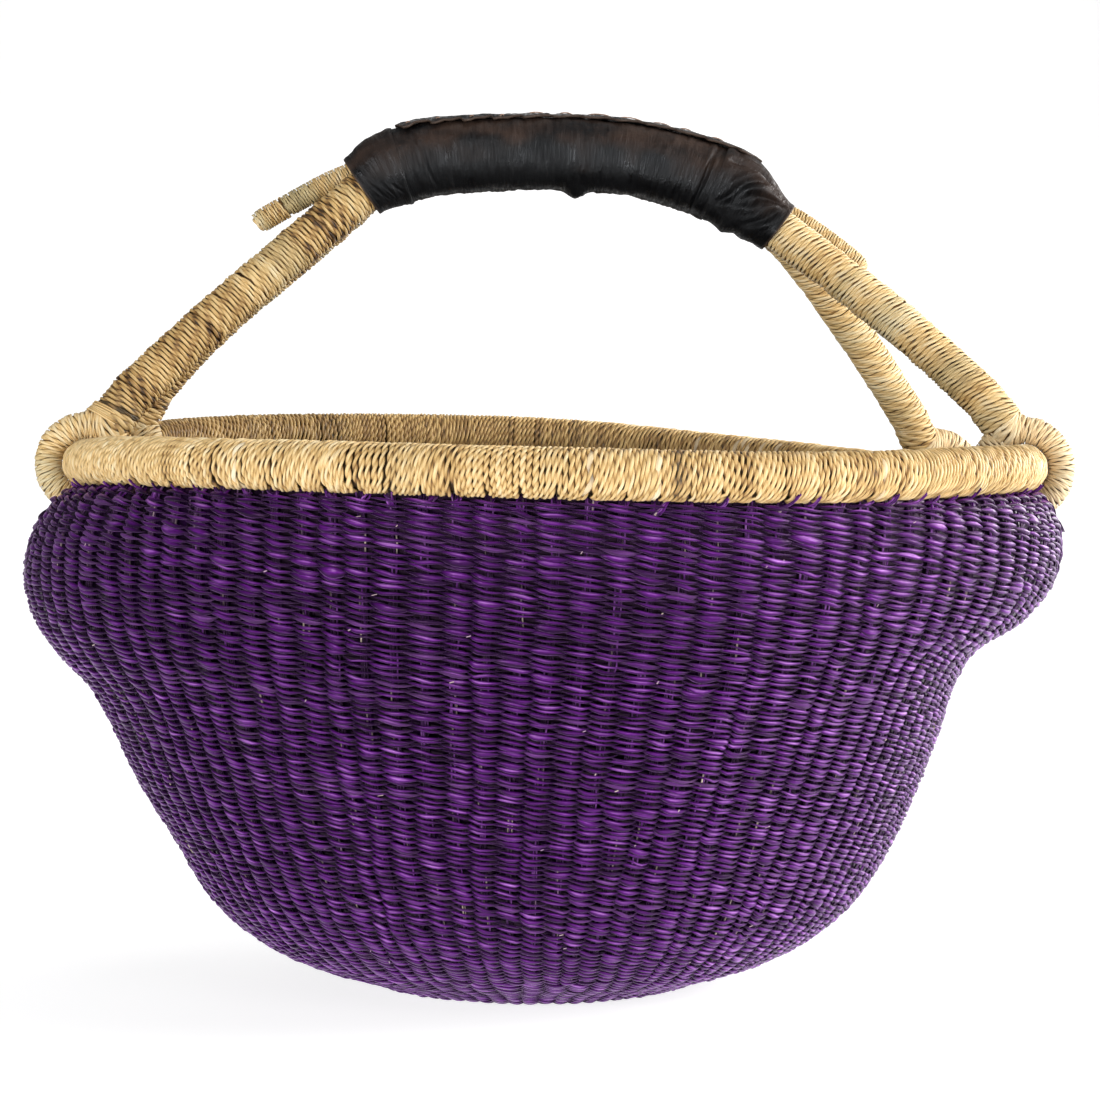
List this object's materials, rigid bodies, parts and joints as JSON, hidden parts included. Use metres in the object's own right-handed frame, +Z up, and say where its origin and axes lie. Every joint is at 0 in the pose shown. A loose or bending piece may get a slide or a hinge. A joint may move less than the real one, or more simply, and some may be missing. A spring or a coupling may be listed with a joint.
{
  "type": "bolga basket",
  "caption": "Round handwoven market basket in purple grass with a straw-wrapped rim, swelling ears at the sides and an arched rope handle under a black leather grip.",
  "frame": {"origin": "centre of the flat of the base, on the underside", "axes": "+Z up, +X along the handle to the right as seen from the front, the front of the basket faces -Y"},
  "size_m": [0.4025, 0.376, 0.335],
  "materials": {
    "dyed_grass": "twined dyed elephant grass, satin",
    "grass_bundle": "bundle of dry grass stems, matte",
    "natural_straw": "natural straw twisted and wound, satin",
    "black_leather": "soft waxed leather with creases and rubbed edges",
    "hide_thong": "raw hide lacing, matte"
  },
  "bodies": {
    "basket": {"base_weave": "dyed_grass", "wall_weave": "dyed_grass", "stake_border": "dyed_grass", "rim_core": "grass_bundle", "rim_wrap": "natural_straw"},
    "handle": {"rope_front_left": "natural_straw", "rope_back_left": "natural_straw", "rope_front_right": "natural_straw", "rope_back_right": "natural_straw", "arm_wrap_front_left": "natural_straw", "arm_wrap_back_left": "natural_straw", "arm_wrap_front_right": "natural_straw", "arm_wrap_back_right": "natural_straw", "grip_core": "grass_bundle", "grip_cover": "black_leather", "cuff_left": "black_leather", "cuff_right": "black_leather", "seam_flap": "black_leather", "seam_lacing": "hide_thong", "tail_left": "natural_straw", "tail_cap_left": "natural_straw", "tail_right": "natural_straw"}
  },
  "joints": [
    {"name": "handle_rock", "type": "hinge", "parent": "basket", "child": "handle", "pos_m": [0.008, 0.033, 0.2], "axis": [1, 0, 0], "range_deg": [-1.2, 1.2]}
  ]
}
